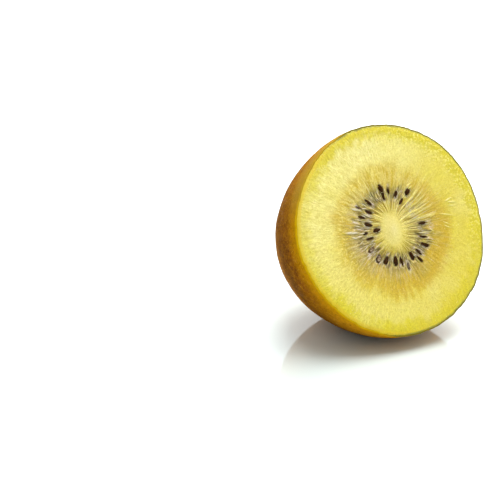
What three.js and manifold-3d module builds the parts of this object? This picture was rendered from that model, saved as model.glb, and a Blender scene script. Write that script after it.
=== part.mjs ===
// A golden kiwi fruit cut across its middle: the half lies on its skin, with its cut face tilted up.
// Millimetres, +Z up. The origin is the middle of the flat spot that the half rests on, and the cut
// face looks towards -Y.
import * as THREE from "three";
import { mergeVertices } from "three/addons/utils/BufferGeometryUtils.js";
import Module from "manifold-3d";

const wasm = await Module();
wasm.setup();

// The half fruit.
const CUT_RADIUS = 27; // mean radius of the cut face
const HALF_LENGTH = 35.7; // from the cut face to the blossom end
const SIDE_POWER = 1.8; // how late the sides start to draw in: 2 is an ellipse
const TIP_POWER = 2.4; // how blunt the blossom end is: 2 is an ellipse
const THREE_LOBES = { share: 0.007, peak: 52 }; // the rim's slow waves, peaks in degrees
const FIVE_LOBES = { share: 0.006, peak: 34.5 };
const RIM_ROUNDING = 0.25; // the cut edge sinks by this much

// How it lies.
const FACE_TILT = 27.3; // degrees that the cut face looks up from level
const REST_DEPTH = 1; // how far the flat spot is pressed into the skin

// The relief of the cut face.
const CORE_OFFSET = new THREE.Vector2(0.45, 0); // from the middle of the face
const CORE_RADIUS = 4.9; // along the face's up direction
const CORE_SQUEEZE = 0.42; // the share of its width that the core lacks
const SQUEEZE_START = 3.5;
const SQUEEZE_END = 11; // rings wider than this are round
const CORE_DOME = 0.35;
const SEED_RING = { radius: 8.6, reach: 4.2, depth: 0.45 };
const FLESH_SWELL = { radius: 19, reach: 6.5, height: 0.2 };
const CHAMBERS = 33; // seed chambers round the core
const CHAMBER_RIB = 0.16; // height of the walls between them

// The seeds lie round a middle of their own, off the core's: clock angle seen from the front in
// degrees, distance, width, length, and the degrees clockwise that a seed leans from the line
// through that middle. Chambers between 40 and 90 degrees show none.
const SEED_MIDDLE = new THREE.Vector2(1.1, 0.6); // from the middle of the face
const SEEDS = [
  [352, 10.2, 1.5, 2.1, -14], [353, 8.2, 0.8, 2.2, 4], [4, 9.2, 0.7, 1.7, 0],
  [18, 8.2, 0.9, 2, 9], [37, 9.8, 1.3, 2.1, 8], [31, 6.8, 0.9, 2.2, 20],
  [94, 8.2, 0.9, 2.4, 1], [118, 8.4, 0.7, 2.2, -13], [129, 9.7, 1.2, 2.3, -11],
  [145, 9.1, 0.8, 2.1, -4], [152, 10.5, 0.8, 2.2, -7], [160, 8.7, 1.4, 2.3, 6],
  [173, 10.5, 0.6, 2, 14], [182, 8.9, 0.9, 2.3, -4], [193, 8.8, 1.5, 2.5, -2],
  [210, 9.1, 1.3, 2.3, 6], [223, 9.7, 1.4, 2.3, -9], [241, 9.2, 1.1, 2.2, 4],
  [258, 7.8, 0.7, 2.4, 9], [269, 8.5, 0.7, 1.3, -3], [270, 5.3, 1.4, 1.9, -8],
  [284, 7.5, 1.2, 2.1, 6], [295, 9.4, 0.8, 2.1, -5], [308, 7.9, 0.9, 2.2, -8],
  [306, 11, 0.5, 1.9, -6], [322, 9.3, 0.9, 2.2, -2],
];
const SEED_THICKNESS = 1; // as a share of its width
const SEED_TAPER = 0.35; // how much narrower a seed is towards the core
const SEED_SINK = 0.1; // of its middle under the face, as a share of its thickness

// The scar at the blossom end.
const SCAR_COLLAR = { radius: 2.7, reach: 1.7, height: 0.45 };
const SCAR_PIT = { radius: 0, reach: 1.7, depth: 0.9 };
const SCAR_RIDGES = 11;
const SCAR_RIDGE = 0.14;

// Fineness of the mesh.
const SEGMENTS = 4 * CHAMBERS;
const SKIN_RINGS = 13;
const SCAR_RINGS = [0.9, 1.7, 2.6, 3.6, 4.8];
const FACE_RINGS = [25.8, 22.8, 19.4, 16, 13.4, 11.6, 10.2, 9, 7.8, 6.6, 5.5, 4.5, 3.3, 1.8];
const SEED_SIDES = 8;
const SEED_STEPS = 6;
const LOOK_STEP = 0.05; // in the search for the lowest point

const radians = THREE.MathUtils.degToRad;

// A smooth hump: 1 at the middle, 0 from reach outwards.
function hump(distance, { radius, reach }) {
  const gap = Math.min(Math.abs(distance - radius) / reach, 1);
  return (1 - gap * gap) ** 2;
}

// The radius of the skin at a depth behind the cut face, in the range 0 to HALF_LENGTH.
function skinRadius(depth) {
  const along = Math.min(depth / HALF_LENGTH, 1);
  return CUT_RADIUS * (1 - along ** SIDE_POWER) ** (1 / TIP_POWER);
}

function skinDepth(radius) {
  const across = (radius / CUT_RADIUS) ** TIP_POWER;
  return HALF_LENGTH * (1 - across) ** (1 / SIDE_POWER);
}

// The share by which the rim's waves push a direction outwards.
function rimWave(angle) {
  const three = THREE_LOBES.share * Math.cos(3 * (angle - radians(THREE_LOBES.peak)));
  const five = FIVE_LOBES.share * Math.cos(5 * (angle - radians(FIVE_LOBES.peak)));
  return three + five;
}

// The fruit's own frame: the cut face lies at z = 0, y is up the face, and the tip is at -z.
function profile() {
  const points = [new THREE.Vector2(0, -HALF_LENGTH)];
  for (const radius of SCAR_RINGS) {
    points.push(new THREE.Vector2(radius, -skinDepth(radius)));
  }
  const lastScarRing = SCAR_RINGS.at(-1);
  const startAngle = Math.acos(skinDepth(lastScarRing) / HALF_LENGTH);
  for (let ring = 1; ring <= SKIN_RINGS; ring += 1) {
    const turn = startAngle + (ring / SKIN_RINGS) * (Math.PI / 2 - startAngle);
    const depth = HALF_LENGTH * Math.max(Math.cos(turn), 0);
    points.push(new THREE.Vector2(skinRadius(depth), -depth));
  }
  points.at(-1).y = -RIM_ROUNDING;
  for (const radius of FACE_RINGS) {
    points.push(new THREE.Vector2(radius, 0));
  }
  points.push(new THREE.Vector2(0, 0));
  return points;
}

// The rings near the core are narrower than they are high, as the core is.
function squeeze(radius) {
  return 1 - CORE_SQUEEZE * (1 - THREE.MathUtils.smoothstep(radius, SQUEEZE_START, SQUEEZE_END));
}

function faceHeight(radius, angle) {
  const core = CORE_DOME * hump(radius, { radius: 0, reach: CORE_RADIUS });
  const ring = hump(radius, SEED_RING);
  const ribs = CHAMBER_RIB * Math.cos(CHAMBERS * angle);
  const flesh = FLESH_SWELL.height * hump(radius, FLESH_SWELL);
  return core + flesh + ring * (ribs - SEED_RING.depth);
}

function shapeFacePoint(point, radius, angle) {
  const pull = 1 - (radius / CUT_RADIUS) ** 2;
  const swing = 1 + rimWave(angle) * (radius / CUT_RADIUS);
  point.x = CORE_OFFSET.x * pull + radius * swing * squeeze(radius) * Math.cos(angle);
  point.y = CORE_OFFSET.y * pull + radius * swing * Math.sin(angle);
  point.z = faceHeight(radius, angle);
}

function shapeSkinPoint(point, radius, angle) {
  const nearRim = 1 + point.z / HALF_LENGTH;
  const swing = 1 + rimWave(angle) * nearRim;
  const collar = hump(radius, SCAR_COLLAR);
  const ridges = SCAR_RIDGE * Math.cos(SCAR_RIDGES * angle);
  const pit = SCAR_PIT.depth * hump(radius, SCAR_PIT);
  point.x *= swing;
  point.y *= swing;
  point.z += pit - collar * (SCAR_COLLAR.height + ridges);
}

// A turned body whose every vertex is then moved by the formulas above.
function bodyGeometry() {
  const turned = new THREE.LatheGeometry(profile(), SEGMENTS);
  turned.rotateX(Math.PI / 2);
  const position = turned.getAttribute("position");
  const point = new THREE.Vector3();
  for (let i = 0; i < position.count; i += 1) {
    point.fromBufferAttribute(position, i);
    const radius = Math.hypot(point.x, point.y);
    const angle = Math.atan2(point.y, point.x);
    if (point.z > -RIM_ROUNDING / 2) {
      shapeFacePoint(point, radius, angle);
    } else {
      shapeSkinPoint(point, radius, angle);
    }
    position.setXYZ(i, point.x, point.y, point.z);
  }
  return turned;
}

// The ring that a place on the face lies on, close enough among the seeds.
function ringThrough(x, y) {
  const across = x - CORE_OFFSET.x;
  const up = y - CORE_OFFSET.y;
  let radius = Math.hypot(across, up);
  for (let pass = 0; pass < 6; pass += 1) {
    radius = Math.hypot(across / squeeze(radius), up);
  }
  return radius;
}

// A drop with its long axis on y, narrow at the -y end, which points to the core.
function seedGeometry(width, length) {
  const drop = new THREE.SphereGeometry(0.5, SEED_SIDES, SEED_STEPS);
  const position = drop.getAttribute("position");
  for (let i = 0; i < position.count; i += 1) {
    const taper = 1 + SEED_TAPER * (position.getY(i) - 0.5);
    position.setX(i, position.getX(i) * taper);
  }
  return drop.scale(width, length, width * SEED_THICKNESS);
}

function placedSeed([clock, distance, width, length, lean]) {
  const angle = Math.PI / 2 - radians(clock);
  const x = SEED_MIDDLE.x + distance * Math.cos(angle);
  const y = SEED_MIDDLE.y + distance * Math.sin(angle);
  const height = -SEED_RING.depth * hump(ringThrough(x, y), SEED_RING);
  const seed = seedGeometry(width, length);
  seed.rotateZ(radians(-clock - lean));
  const sink = SEED_SINK * SEED_THICKNESS * width;
  return seed.translate(x, y, height - sink);
}

function toSolid(geometry) {
  geometry.deleteAttribute("normal");
  geometry.deleteAttribute("uv");
  const merged = mergeVertices(geometry, 1e-4);
  const mesh = new wasm.Mesh({
    numProp: 3,
    vertProperties: merged.getAttribute("position").array,
    triVerts: new Uint32Array(merged.index.array),
  });
  return new wasm.Manifold(mesh);
}

function toGeometry(solid) {
  const { vertProperties, triVerts } = solid.getMesh();
  const geometry = new THREE.BufferGeometry();
  geometry.setAttribute("position", new THREE.BufferAttribute(vertProperties, 3));
  geometry.setIndex(new THREE.BufferAttribute(triVerts, 1));
  geometry.computeVertexNormals();
  return geometry;
}

// The lowest point of the tilted skin: how far it lies below and behind the middle of the cut face.
function lowestPoint(tilt) {
  const lowest = { below: 0, behind: 0 };
  for (let depth = 0; depth < HALF_LENGTH; depth += LOOK_STEP) {
    const radius = skinRadius(depth);
    const below = radius * Math.cos(tilt) + depth * Math.sin(tilt);
    if (below > lowest.below) {
      lowest.below = below;
      lowest.behind = depth * Math.cos(tilt) - radius * Math.sin(tilt);
    }
  }
  return lowest;
}

// Turns the fruit's frame to the one it lies in, with the middle of the flat spot at the origin.
function lyingMatrix() {
  const tilt = radians(FACE_TILT);
  const { below, behind } = lowestPoint(tilt);
  const matrix = new THREE.Matrix4().makeRotationX(Math.PI / 2 - tilt);
  return matrix.setPosition(0, -behind, below - REST_DEPTH);
}

// The block under the resting surface, in the fruit's own frame.
function groundGeometry(lying) {
  const side = 4 * CUT_RADIUS;
  const ground = new THREE.BoxGeometry(side, side, side);
  ground.translate(0, 0, -side / 2);
  return ground.applyMatrix4(lying.clone().invert());
}

function halfFruit(lying) {
  let solid = toSolid(bodyGeometry());
  for (const spot of SEEDS) {
    solid = solid.add(toSolid(placedSeed(spot)));
  }
  return solid.subtract(toSolid(groundGeometry(lying)));
}

const lying = lyingMatrix();
const fruit = new THREE.Mesh(
  toGeometry(halfFruit(lying)),
  new THREE.MeshStandardMaterial({ color: 0xe8d56e, roughness: 0.4, metalness: 0 }),
);
fruit.name = "golden_kiwi_half";
fruit.applyMatrix4(lying);

const goldenKiwi = new THREE.Group();
goldenKiwi.name = "golden_kiwi";
goldenKiwi.add(fruit);

export default goldenKiwi;
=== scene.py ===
"""The looks of the golden kiwi half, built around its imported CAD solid. Metres, +Z up."""
import math

import bpy
import numpy as np
from mathutils import Matrix, Vector, noise


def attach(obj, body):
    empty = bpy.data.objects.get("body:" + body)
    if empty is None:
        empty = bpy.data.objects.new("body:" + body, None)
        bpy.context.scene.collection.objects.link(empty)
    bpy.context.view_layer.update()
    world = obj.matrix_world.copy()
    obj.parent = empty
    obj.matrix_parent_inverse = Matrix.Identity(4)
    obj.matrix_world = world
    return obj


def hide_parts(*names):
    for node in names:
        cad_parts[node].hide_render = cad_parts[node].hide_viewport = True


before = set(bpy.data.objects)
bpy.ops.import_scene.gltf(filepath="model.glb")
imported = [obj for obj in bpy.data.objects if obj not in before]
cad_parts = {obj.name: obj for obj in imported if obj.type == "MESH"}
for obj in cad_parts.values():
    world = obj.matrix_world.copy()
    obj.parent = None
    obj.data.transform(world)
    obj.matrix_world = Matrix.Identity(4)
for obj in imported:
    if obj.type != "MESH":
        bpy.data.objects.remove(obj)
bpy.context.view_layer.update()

NODE = "golden_kiwi_half"
BODY = "root"
MM = 0.001
SEED = 20  # of the random draws

# The half fruit, in millimetres, with the dimensions and formulas of its CAD solid.
CUT_RADIUS = 27
HALF_LENGTH = 35.7
SIDE_POWER = 1.8
TIP_POWER = 2.4
THREE_LOBES = (0.007, 52)  # share, peak in degrees
FIVE_LOBES = (0.006, 34.5)
FACE_TILT = 27.3
REST_DEPTH = 1
PROFILE_STEPS = 715  # in the search for the lowest point
CORE_OFFSET = (0.45, 0)  # from the middle of the face
CORE_RADIUS = 4.9
CORE_SQUEEZE = 0.42
SQUEEZE_START = 3.5
SQUEEZE_END = 11
SQUEEZE_PASSES = 6  # in the search for the ring through a place
CORE_DOME = 0.35
SEED_MIDDLE = (1.1, 0.6)  # of the ring of seeds, from the middle of the face
SEED_RING = (8.6, 4.2)  # radius, reach
SEED_RING_DEPTH = 0.45
FLESH_SWELL = (19, 6.5)
FLESH_SWELL_HEIGHT = 0.2
FLESH_LIFT = (20, 25)  # the flesh stands a little higher between here and the rim
FLESH_LIFT_HEIGHT = 0.14
CHAMBERS = 33
CHAMBER_RIB = 0.16
SCAR_COLLAR = (2.7, 1.7)
SCAR_COLLAR_HEIGHT = 0.45
SCAR_PIT = (0, 1.7)
SCAR_PIT_DEPTH = 0.9
SCAR_RIDGES = 11
SCAR_RIDGE = 0.14
SCAR_RIDGE_SWAY = (0.6, 3)  # in radians, and how often round the scar

# The seeds round their middle: clock angle in degrees, distance, width, length, the degrees
# clockwise by which a seed leans from the line through that middle, and how pale it is.
SEEDS = [
    (352, 10.2, 1.5, 2.1, -14, 0), (353, 8.2, 0.8, 2.2, 4, 0.1), (4, 9.2, 0.7, 1.7, 0, 0.1),
    (18, 8.2, 0.9, 2, 9, 0.1), (37, 9.8, 1.3, 2.1, 8, 0), (31, 6.8, 0.9, 2.2, 20, 0.1),
    (94, 8.2, 0.9, 2.4, 1, 0.1), (118, 8.4, 0.7, 2.2, -13, 0.1), (129, 9.7, 1.2, 2.3, -11, 0),
    (145, 9.1, 0.8, 2.1, -4, 0.15), (152, 10.5, 0.8, 2.2, -7, 0.1), (160, 8.7, 1.4, 2.3, 6, 0),
    (173, 10.5, 0.6, 2, 14, 0.3), (182, 8.9, 0.9, 2.3, -4, 0.1), (193, 8.8, 1.5, 2.5, -2, 0.1),
    (210, 9.1, 1.3, 2.3, 6, 0.12), (223, 9.7, 1.3, 2.2, -9, 0.42), (241, 9.2, 1.1, 2.2, 4, 0.4),
    (258, 7.8, 0.7, 2.4, 9, 0.1), (269, 8.5, 0.7, 1.3, -3, 0.1), (270, 5.3, 1.4, 1.9, -8, 0.12),
    (284, 7.5, 1.2, 2.1, 6, 0.08), (295, 9.4, 0.8, 2.1, -5, 0.1), (308, 7.9, 0.9, 2.2, -8, 0),
    (306, 11, 0.5, 1.9, -6, 0.25), (322, 9.3, 0.9, 2.2, -2, 0.1),
]
SEED_TAPER = 0.4
SEED_THICKNESS = 0.8  # as a share of its width
SEED_SINK = 0.02
SEED_DISH = 0.9  # how deeply a wholly pale seed is hollowed out
SEED_DISH_WALL = (0.12, 0.5)  # where the hollow starts and is full, inwards from the outline
SEED_LUMPS = (0.7, 0.22)  # size and height of its unevenness, the height as a share
SEED_TILT = 0.15
SEED_HOLLOW = 0.12  # depth of the flesh's hollow round each seed
SEED_HOLLOW_REACH = 0.35

# The glassy pockets between the seeds: clock angle, distance, width, length and lean.
POCKETS = [
    (335, 9, 2.4, 3.6, 4), (6, 7.8, 1.4, 3, 0), (22, 9.6, 1.2, 2.2, 6),
    (84, 5.9, 1.5, 2.6, 0), (97, 7.2, 1.3, 2.8, 2), (106, 8.6, 1.1, 2, 0),
    (288, 11.6, 0.9, 2.6, 4), (262, 10.2, 1.2, 2.6, 0), (300, 8.2, 1.1, 2.4, -4),
    (116, 6.6, 1.3, 2.2, 6), (137, 8.2, 1.3, 2.6, 0), (156, 9.6, 1.5, 3, 2),
    (188, 7.4, 1.1, 2.2, 0), (202, 8.6, 1.3, 2.6, -2), (233, 8, 1.4, 2.6, 4),
    (249, 8, 1.2, 2.2, 0), (276, 8.4, 1, 2, 0), (66, 9.4, 1.2, 2.6, 0),
    (314, 9.6, 1.1, 2.6, 0), (172, 8.8, 1, 2.2, 0),
]
POCKET_DEPTH = 0.16
POCKET_WALL = (0.2, -0.5)  # where a pocket starts and is full, outwards from its outline

# The nicks of the cut edge: size and depth of each kind, and how far down they are full and end.
EDGE_NICKS = ((3.2, 0.24), (1.2, 0.24))
EDGE_NICK_REACH = (0.4, 2.6)
EDGE_NICK_MORE = 0.1  # added to the noise whose high parts are the nicks

# The camera's view: where the middle of the cut face lies in a square picture of PIXELS a side.
FACE_PIXEL = (392.06, 229.52)
PIXELS = 500
PIXELS_PER_MM = 3.985
SIGHT_AZIMUTH = -33.25  # of the line from the face to the camera
SIGHT_ELEVATION = 21.1
CAMERA_DISTANCE = 0.8
SENSOR = 36
VIEW_DEPTH = 20
AIM_PASSES = 8  # in the search for the direction of the camera


# ------ shape formulas

def hump(distance, middle, reach):
    """1 at the middle and 0 from reach outwards."""
    gap = np.minimum(np.abs(distance - middle) / reach, 1)
    return (1 - gap * gap) ** 2


def smoothstep(value, low, high):
    t = np.clip((value - low) / (high - low), 0, 1)
    return t * t * (3 - 2 * t)


def from_clock(clock):
    """A clock angle in degrees, as an angle on the face."""
    return math.pi / 2 - np.radians(clock)


def circle(count):
    """Evenly spaced angles once round."""
    return np.arange(count) * 2 * math.pi / count


def direction(angle):
    return np.stack([np.cos(angle), np.sin(angle), np.zeros_like(angle)], -1)


def skin_radius(depth):
    along = np.clip(depth / HALF_LENGTH, 0, 1)
    return CUT_RADIUS * (1 - along**SIDE_POWER) ** (1 / TIP_POWER)


def skin_depth(radius):
    across = np.clip(radius / CUT_RADIUS, 0, 1) ** TIP_POWER
    return HALF_LENGTH * (1 - across) ** (1 / SIDE_POWER)


def rim_wave(angle):
    total = 0
    for count, (share, peak) in ((3, THREE_LOBES), (5, FIVE_LOBES)):
        total = total + share * np.cos(count * (angle - math.radians(peak)))
    return total


def squeeze(radius):
    return 1 - CORE_SQUEEZE * (1 - smoothstep(radius, SQUEEZE_START, SQUEEZE_END))


def face_height(radius, rib=0):
    """Height of the face on a ring, with a rib of this height on the floor of the seed ring."""
    core = CORE_DOME * hump(radius, 0, CORE_RADIUS)
    flesh = FLESH_SWELL_HEIGHT * hump(radius, *FLESH_SWELL)
    lift = FLESH_LIFT_HEIGHT * smoothstep(radius, *FLESH_LIFT)
    return core + flesh + lift + (rib - SEED_RING_DEPTH) * hump(radius, *SEED_RING)


def face_place(radius, angle):
    """Where a ring's point lies on the cut face, as x and y in the fruit's own frame."""
    pull = 1 - (radius / CUT_RADIUS) ** 2
    swing = 1 + rim_wave(angle) * (radius / CUT_RADIUS)
    x = CORE_OFFSET[0] * pull + radius * swing * squeeze(radius) * np.cos(angle)
    y = CORE_OFFSET[1] * pull + radius * swing * np.sin(angle)
    return x, y


def ring_through(x, y):
    """The ring that a place on the face lies on, close enough inside the gold zone."""
    across = x - CORE_OFFSET[0]
    up = y - CORE_OFFSET[1]
    radius = np.hypot(across, up)
    for _ in range(SQUEEZE_PASSES):
        radius = np.hypot(across / squeeze(radius), up)
    return radius


def lying_matrix():
    """From the fruit's own frame, in millimetres, to the part's frame, in metres."""
    tilt = math.radians(FACE_TILT)
    depth = np.linspace(0, HALF_LENGTH, PROFILE_STEPS)
    radius = skin_radius(depth)
    below = radius * math.cos(tilt) + depth * math.sin(tilt)
    low = int(np.argmax(below))
    behind = depth[low] * math.cos(tilt) - radius[low] * math.sin(tilt)
    turn = Matrix.Rotation(math.pi / 2 - tilt, 4, "X")
    shift = Matrix.Translation((0, -behind * MM, (below[low] - REST_DEPTH) * MM))
    return shift @ turn @ Matrix.Scale(MM, 4)


LYING = lying_matrix()


def to_part(points):
    """Points in the fruit's own frame, in millimetres, as points in the part's frame."""
    matrix = np.array(LYING)
    return points @ matrix[:3, :3].T + matrix[:3, 3]


def smooth_noise(points, size, offset=0):
    """Noise between -1 and 1 at each point, with features of about that size."""
    places = np.asarray(points) / size + offset
    return np.array([noise.noise(Vector(place)) for place in places])


def edge_nick(angle):
    """How much of the radius the nicks take from the cut edge at each angle."""
    ring = direction(angle) * CUT_RADIUS
    depth = sum(
        height * np.clip(smooth_noise(ring, size, offset=3) + EDGE_NICK_MORE, 0, 1)
        for size, height in EDGE_NICKS
    )
    return depth / CUT_RADIUS


# ------ mesh helpers

def add_object(name, data):
    made = bpy.data.objects.new(name, data)
    bpy.context.scene.collection.objects.link(made)
    return made


def make_object(name, vertices, faces):
    mesh = bpy.data.meshes.new(name)
    mesh.from_pydata([tuple(v) for v in vertices], [], faces)
    mesh.validate()
    mesh.shade_smooth()
    mesh.update()
    return add_object(name, mesh)


def ring_faces(rows, segments):
    """Quads between rows of vertices, each row one closed ring, after a first vertex."""
    faces = []
    for row in range(rows - 1):
        a = 1 + row * segments
        b = a + segments
        for i in range(segments):
            j = (i + 1) % segments
            faces.append((a + i, a + j, b + j, b + i))
    return faces


def pole_to_pole(rows, segments):
    """Faces of a closed body: a first pole, rows of rings, and a last pole."""
    last = 1 + rows * segments
    faces = [(0, 1 + (i + 1) % segments, 1 + i) for i in range(segments)]
    faces += ring_faces(rows, segments)
    first = last - segments
    faces += [(last, first + i, first + (i + 1) % segments) for i in range(segments)]
    return faces


def join_bodies(bodies, faces):
    """Bodies that share one list of faces, as one array of points and one list of faces."""
    size = len(bodies[0])
    joined = [tuple(i * size + corner for corner in face)
              for i in range(len(bodies)) for face in faces]
    return np.concatenate(bodies), joined


def store(piece, name, values):
    """Keeps one number or one vector for each vertex, for the material to read."""
    values = np.asarray(values, dtype=np.float32)
    kind = "FLOAT" if values.ndim == 1 else "FLOAT_VECTOR"
    key = "value" if values.ndim == 1 else "vector"
    attribute = piece.data.attributes.new(name, kind, "POINT")
    attribute.data.foreach_set(key, values.ravel())


def dress(piece, points, material):
    """Gives a piece its material, which reads each point in the fruit's own frame."""
    store(piece, "fruit_mm", points)
    piece.data.materials.append(material)
    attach(piece, BODY)
    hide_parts(NODE)
    return piece


# ------ node helpers

class Nodes:
    """Short names for building a tree of nodes."""

    def __init__(self, tree):
        self.tree = tree

    def put(self, socket, value):
        if isinstance(value, bpy.types.NodeSocket):
            self.tree.links.new(value, socket)
        elif isinstance(value, tuple) and len(value) == 3 and socket.type == "RGBA":
            socket.default_value = (*value, 1)
        else:
            socket.default_value = value

    def node(self, kind, inputs=None, **settings):
        made = self.tree.nodes.new("ShaderNode" + kind)
        for key, value in settings.items():
            setattr(made, key, value)
        for key, value in (inputs or {}).items():
            self.put(made.inputs[key], value)
        return made

    def attribute(self, name, output="Fac"):
        return self.node("Attribute", attribute_name=name).outputs[output]

    def parts(self, vector):
        """The x, y and z of a vector."""
        return tuple(self.node("SeparateXYZ", {0: vector}).outputs)

    def joined(self, x=0, y=0, z=0):
        return self.node("CombineXYZ", {0: x, 1: y, 2: z}).outputs[0]

    def math(self, operation, a, b):
        return self.node("Math", {0: a, 1: b}, operation=operation).outputs[0]

    def add(self, a, b):
        return self.math("ADD", a, b)

    def minus(self, a, b):
        return self.math("SUBTRACT", a, b)

    def larger(self, a, b):
        return self.math("MAXIMUM", a, b)

    def times(self, *factors):
        product = factors[0]
        for factor in factors[1:]:
            product = self.math("MULTIPLY", product, factor)
        return product

    def vector(self, operation, a, b):
        made = self.node("VectorMath", {0: a}, operation=operation)
        self.put(made.inputs["Scale" if operation == "SCALE" else 1], b)
        return made.outputs["Value" if operation == "DOT_PRODUCT" else 0]

    def vector_length(self, a):
        return self.node("VectorMath", {0: a}, operation="LENGTH").outputs["Value"]

    def noise(self, vector, scale, detail=2, roughness=0.5):
        inputs = {"Vector": vector, "Scale": scale, "Detail": detail, "Roughness": roughness}
        return self.node("TexNoise", inputs).outputs["Fac"]

    def cells(self, vector, scale):
        inputs = {"Vector": vector, "Scale": scale}
        return self.node("TexVoronoi", inputs).outputs["Distance"]

    def span(self, value, low, high, bottom=0, top=1, smooth=True):
        """Value from low to high becomes bottom to top, held at both ends."""
        kind = "SMOOTHSTEP" if smooth else "LINEAR"
        inputs = {"Value": value, "From Min": low, "From Max": high,
                  "To Min": bottom, "To Max": top}
        return self.node("MapRange", inputs, interpolation_type=kind).outputs[0]

    def band(self, value, low, high, soft):
        """1 between low and high, falling to 0 over soft on both sides."""
        rise = self.span(value, low - soft, low + soft)
        fall = self.span(value, high - soft, high + soft, 1, 0)
        return self.times(rise, fall)

    def mix(self, factor, a, b):
        made = self.node("Mix", data_type="RGBA")
        self.put(made.inputs[0], factor)
        self.put(made.inputs[6], a)
        self.put(made.inputs[7], b)
        return made.outputs[2]

    def ramp(self, value, stops, low, high):
        """A colour for each of a few values, given as (value, colour)."""
        made = self.node("ValToRGB", {"Fac": self.span(value, low, high, smooth=False)})
        elements = made.color_ramp.elements
        while len(elements) < len(stops):
            elements.new(1)
        for element, (place, colour) in zip(elements, stops):
            element.position = (place - low) / (high - low)
            element.color = (*colour, 1)
        return made.outputs["Color"]

    def bump(self, height, distance, strength):
        inputs = {"Height": height, "Distance": distance, "Strength": strength}
        return self.node("Bump", inputs).outputs["Normal"]


class Surface(Nodes):
    """A material's nodes, with its colour, painted in layers."""

    def __init__(self, name):
        self.material = bpy.data.materials.new(name)
        self.material.use_nodes = True
        super().__init__(self.material.node_tree)
        self.shader = self.tree.nodes["Principled BSDF"]
        self.place = self.attribute("fruit_mm", "Vector")
        self.colour = None

    def paint(self, colour, *amounts):
        """Lays a colour over the ones so far, as thick as the product of the amounts."""
        self.colour = self.mix(self.times(*amounts), self.colour, colour)

    def paint_grain(self, grain, tones, *amounts):
        """Paints where a grain is high or low.

        Each tone is where it starts, where it is full, how thick it is, and its colour.
        """
        for start, full, thickness, colour in tones:
            self.paint(colour, *amounts, self.span(grain, start, full), thickness)

    def set(self, **inputs):
        for key, value in inputs.items():
            self.put(self.shader.inputs[key.replace("_", " ")], value)


def srgb(code):
    """A colour given as 0xRRGGBB, as it looks on screen, in the renderer's linear terms."""
    return tuple(
        c / 12.92 if c <= 0.04045 else ((c + 0.055) / 1.055) ** 2.4
        for c in ((code >> shift & 255) / 255 for shift in (16, 8, 0))
    )


# ------ skin

SKIN_SEGMENTS = 400
SKIN_ROWS = 196
TIP_CROWDING = 0.12  # how much closer together the rows lie at the tip
TIP_TURN = 0.25  # the rows within this turn from the tip are evenly spaced
INNER_ROWS = 22
SKIN_THICKNESS = 0.4
RIM_DROP = 0.3  # how far the rounded cut edge lies behind the face
LIP_ROUNDING = 0.1
SKIN_BUMPS = ((5.5, 0.09), (2, 0.035))  # size and height of its unevenness
TIP_BUMPS = (1.1, 0.1, 9)  # size, height and how far they reach from the scar
TIP_BUMPS_OUT = 1.2  # how far outside the scar's collar they are highest
CLEAN_CUT = (0.2, 3)  # behind the face, the bumps start and are full

SKIN_DARK = srgb(0x6A3900)
SKIN_LIGHT = srgb(0x804700)
BACK_TAN = srgb(0xA86C2C)  # towards the blossom end
PAINTED_CUT_GLOW = srgb(0xBE8102)  # painted glow of light shining through the flesh, next to the cut
# painted light: the upper side of the skin lighter, where light falls on it
PAINTED_TOP_SIDE_LIGHT = srgb(0xC68614)
# painted light: the low side of the skin lighter, as if lit by light off the floor
PAINTED_FLOOR_BOUNCE = srgb(0xC68A16)
SPECK = srgb(0xD0983C)
PAINTED_LOW_SHADE = srgb(0x422606)  # painted shade: a darker belt on the low side, where little light reaches
DOT = srgb(0x3A2106)
SCAR_FLESH = srgb(0x785024)
SCAR_RING = srgb(0x92603E)
SCAR_WOOD = srgb(0x5C381E)
SCAR_DARK = srgb(0x382214)
# The next two colours are a painted glow of light through the flesh, on the skin just behind the
# cut edge.
CUT_GLOW_OCHRE = srgb(0xBE9004)
CUT_GLOW_YELLOW = srgb(0xD2AE0E)
EDGE_KHAKI = srgb(0x9A8030)
EDGE_OLIVE = srgb(0x706A2A)
# The tones of its grains, as paint_grain takes them.
PATCH_TONES = ((0.5, 0.34, 0.2, srgb(0x4E2A01)), (0.5, 0.66, 0.25, srgb(0xB87C16)))
FINE_TONES = ((0.49, 0.33, 0.5, srgb(0x542B00)), (0.51, 0.66, 0.45, srgb(0xC0800A)))
BLOTCH_TONES = ((0.5, 0.3, 0.22, srgb(0x542C00)), (0.5, 0.7, 0.22, srgb(0xBE7E0A)))


def skin_profile():
    """The radius of each outer row, from next to the tip to the rim."""
    turn = np.linspace(0, math.pi / 2, SKIN_ROWS + 1)[1:]
    turn = turn - TIP_CROWDING * np.sin(2 * turn)
    radius = skin_radius(HALF_LENGTH * np.cos(turn))
    near_tip = turn < TIP_TURN
    tip_radius = skin_radius(HALF_LENGTH * math.cos(TIP_TURN))
    radius[near_tip] = tip_radius * turn[near_tip] / TIP_TURN
    return np.maximum.accumulate(radius)


def outer_skin():
    angles = circle(SKIN_SEGMENTS)
    radius, angle = np.meshgrid(skin_profile(), angles, indexing="ij")
    height = -skin_depth(radius)
    height[-1] = -RIM_DROP
    collar = hump(radius, *SCAR_COLLAR)
    sway, count = SCAR_RIDGE_SWAY
    ridges = SCAR_RIDGE * np.cos(SCAR_RIDGES * angle + sway * np.sin(count * angle))
    pit = SCAR_PIT_DEPTH * hump(radius, *SCAR_PIT)
    full, end = EDGE_NICK_REACH
    swing = 1 + rim_wave(angle) * (1 + height / HALF_LENGTH)
    swing = swing - edge_nick(angles) * smoothstep(height, -end, -full)
    return np.stack([radius * swing * np.cos(angle), radius * swing * np.sin(angle),
                     height + pit - collar * (SCAR_COLLAR_HEIGHT + ridges)], -1)


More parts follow.
